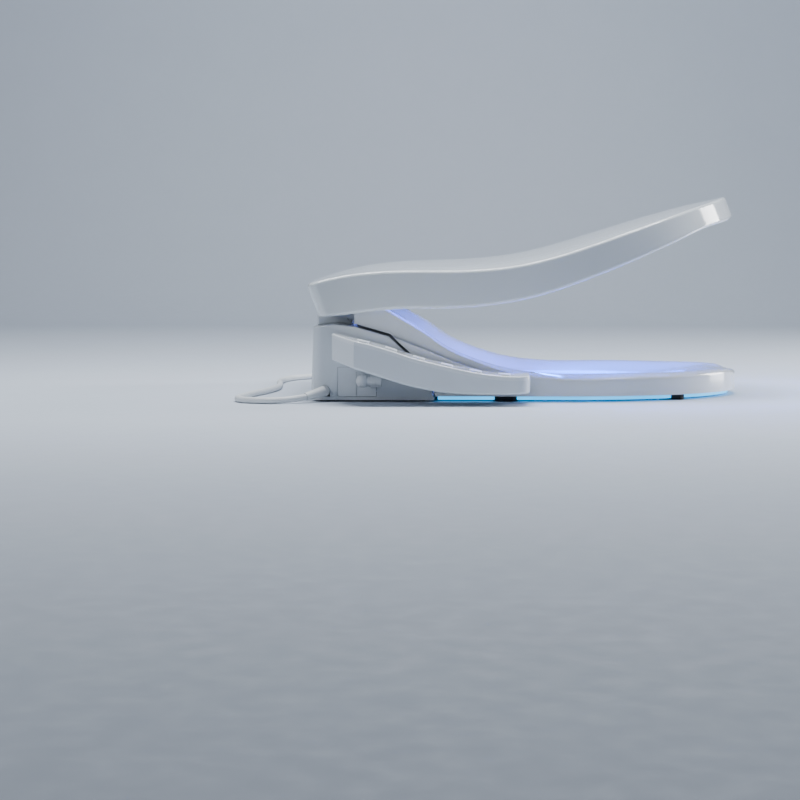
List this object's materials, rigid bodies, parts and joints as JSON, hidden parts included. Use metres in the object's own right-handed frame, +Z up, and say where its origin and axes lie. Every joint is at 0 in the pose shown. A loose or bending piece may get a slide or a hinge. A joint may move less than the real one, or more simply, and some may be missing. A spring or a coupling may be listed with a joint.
{
  "type": "electric bidet seat",
  "caption": "Elongated electric bidet toilet seat with a wavy lid, a side control arm, wash nozzles, warm-air dryer, deodoriser and a lit seat ring.",
  "frame": {"origin": "midway between the two fixing bolts, on the rim surface that the seat stands on", "axes": "+Z up, out of the rim; -Y towards the front tip of the seat; -X towards the control arm, on the sitter's right"},
  "size_m": [0.568, 0.5961, 0.2393],
  "materials": {
    "lid_white": "polished cool white moulding",
    "seat_white": "polished cool white moulding",
    "case_white": "polished cool white moulding",
    "panel_white": "high gloss white",
    "satin_white": "satin white moulding",
    "button_white": "satin white button cap",
    "dark_rubber": "matt black elastomer",
    "lens_blue": "diffusing lens, lit blue",
    "light_cyan": "diffusing strip, lit cyan",
    "steel": "turned stainless steel",
    "zinc_steel": "zinc plated",
    "damper_black": "satin black",
    "inner_grey": "moulded grey",
    "gear_white": "natural acetal",
    "nozzle_white": "polished white",
    "board_green": "solder mask",
    "chip_black": "moulded component",
    "heater_foil": "embossed foil",
    "fitting_white": "off-white acetal, finely ribbed",
    "carbon_black": "black honeycomb carrier",
    "cord_white": "off-white PVC sheath",
    "plug_white": "off-white PVC, moulded",
    "pin_brass": "nickel tinted brass",
    "tie_black": "coated wire tie"
  },
  "bodies": {
    "housing": {"air_duct": "inner_grey", "air_heater": "steel", "arm_board": "board_green", "arm_case": "case_white", "arm_panel": "panel_white", "base_pads": "dark_rubber", "base_tray": "satin_white", "blower_case": "inner_grey", "blower_motor": "steel", "board_parts": "chip_black", "case_screws": "zinc_steel", "cord_coil": "cord_white", "cord_gland": "plug_white", "cord_lead": "cord_white", "cord_tail": "cord_white", "cord_tie": "tie_black", "diverter_valve": "gear_white", "fan_case": "damper_black", "hinge_brackets": "zinc_steel", "hinge_cover": "case_white", "hinge_dampers": "damper_black", "lamp_lens": "lens_blue", "main_board": "board_green", "nozzle_cradle": "inner_grey", "plug": "plug_white", "plug_pins": "pin_brass", "power_supply": "zinc_steel", "side_panel": "case_white", "solenoid_valve": "inner_grey", "stepper_motors": "steel", "top_cover": "case_white", "water_heater": "inner_grey", "water_tubes": "dark_rubber"},
    "seat": {"seat_top": "seat_white", "seat_base": "seat_white", "seat_heater": "heater_foil", "seat_bumpers": "dark_rubber", "seat_light": "light_cyan", "hinge_shafts": "steel"},
    "lid": {"lid_shell": "lid_white", "lid_panel": "lid_white", "lid_bumpers": "dark_rubber"},
    "rear_nozzle": {"rear_nozzle": "nozzle_white"},
    "front_nozzle": {"front_nozzle": "nozzle_white"},
    "rear_pinion": {"rear_pinion": "gear_white"},
    "front_pinion": {"front_pinion": "gear_white"},
    "blower_impeller": {"blower_impeller": "damper_black"},
    "air_flap": {"air_flap": "case_white"},
    "fan_rotor": {"fan_rotor": "damper_black"},
    "filter_cartridge": {"filter_cartridge": "carbon_black"},
    "mounting_plate": {"mounting_plate": "inner_grey"},
    "release_button": {"release_button": "button_white"},
    "inlet_elbow": {"inlet_elbow": "fitting_white"},
    "button_light": {"button_light": "button_white"},
    "button_warmer": {"button_warmer": "button_white"},
    "button_dryer": {"button_dryer": "button_white"},
    "button_front_wash": {"button_front_wash": "button_white"},
    "button_rear_wash": {"button_rear_wash": "button_white"},
    "button_stop": {"button_stop": "button_white"}
  },
  "joints": [
    {"name": "seat_hinge", "type": "hinge", "parent": "housing", "child": "seat", "pos_m": [0, 0.016, 0.11], "axis": [-1, 0, 0], "range_deg": [0, 86.5]},
    {"name": "lid_hinge", "type": "hinge", "parent": "seat", "child": "lid", "pos_m": [0, 0.016, 0.11], "axis": [1, 0, 0], "range_deg": [-83.5, 21.2]},
    {"name": "rear_nozzle_slide", "type": "slide", "parent": "housing", "child": "rear_nozzle", "axis": [0, -0.9681, -0.2504], "range_m": [0, 0.095]},
    {"name": "front_nozzle_slide", "type": "slide", "parent": "housing", "child": "front_nozzle", "axis": [0, -0.9681, -0.2504], "range_m": [0, 0.095]},
    {"name": "rear_pinion_spin", "type": "hinge", "parent": "housing", "child": "rear_pinion", "pos_m": [-0.029, -0.07645, 0.0255], "axis": [0, -0.2504, 0.9681], "range_deg": [-780, 0]},
    {"name": "front_pinion_spin", "type": "hinge", "parent": "housing", "child": "front_pinion", "pos_m": [0.029, -0.07645, 0.0255], "axis": [0, -0.2504, 0.9681], "range_deg": [0, 780]},
    {"name": "blower_spin", "type": "hinge", "parent": "housing", "child": "blower_impeller", "pos_m": [0.084, -0.016, 0.03], "axis": [0, 0, 1], "continuous": true},
    {"name": "fan_spin", "type": "hinge", "parent": "housing", "child": "fan_rotor", "pos_m": [0.135, -0.02, 0.034], "axis": [1, 0, 0], "continuous": true},
    {"name": "air_flap_hinge", "type": "hinge", "parent": "housing", "child": "air_flap", "pos_m": [0.068, -0.0862, 0.033], "axis": [-1, 0, 0], "range_deg": [0, 60]},
    {"name": "filter_slide", "type": "slide", "parent": "housing", "child": "filter_cartridge", "axis": [1, 0, 0], "range_m": [0, 0.045]},
    {"name": "mounting_slide", "type": "slide", "parent": "housing", "child": "mounting_plate", "axis": [0, 1, 0], "range_m": [0, 0.045]},
    {"name": "release_press", "type": "slide", "parent": "housing", "child": "release_button", "axis": [-1, 0, 0], "range_m": [0, 0.004], "stiffness_N_per_m": 800},
    {"name": "inlet_swivel", "type": "hinge", "parent": "housing", "child": "inlet_elbow", "pos_m": [-0.2, -0.0226, 0.0245], "axis": [1, 0, 0], "range_deg": [0, 150]},
    {"name": "light_press", "type": "slide", "parent": "housing", "child": "button_light", "axis": [0, 0.223, -0.9748], "range_m": [0, 0.001], "stiffness_N_per_m": 600},
    {"name": "warmer_press", "type": "slide", "parent": "housing", "child": "button_warmer", "axis": [0, 0.3092, -0.951], "range_m": [0, 0.001], "stiffness_N_per_m": 600},
    {"name": "dryer_press", "type": "slide", "parent": "housing", "child": "button_dryer", "axis": [0, 0.2729, -0.962], "range_m": [0, 0.001], "stiffness_N_per_m": 600},
    {"name": "front_wash_press", "type": "slide", "parent": "housing", "child": "button_front_wash", "axis": [0, 0.218, -0.976], "range_m": [0, 0.001], "stiffness_N_per_m": 600},
    {"name": "rear_wash_press", "type": "slide", "parent": "housing", "child": "button_rear_wash", "axis": [0, 0.1747, -0.9846], "range_m": [0, 0.001], "stiffness_N_per_m": 600},
    {"name": "stop_press", "type": "slide", "parent": "housing", "child": "button_stop", "axis": [0, 0.0576, -0.9983], "range_m": [0, 0.001], "stiffness_N_per_m": 600}
  ],
  "couplings": [
    {"joint": "rear_pinion_spin", "follows": "rear_nozzle_slide", "rad_per_m": -142.86},
    {"joint": "front_pinion_spin", "follows": "front_nozzle_slide", "rad_per_m": 142.86}
  ]
}
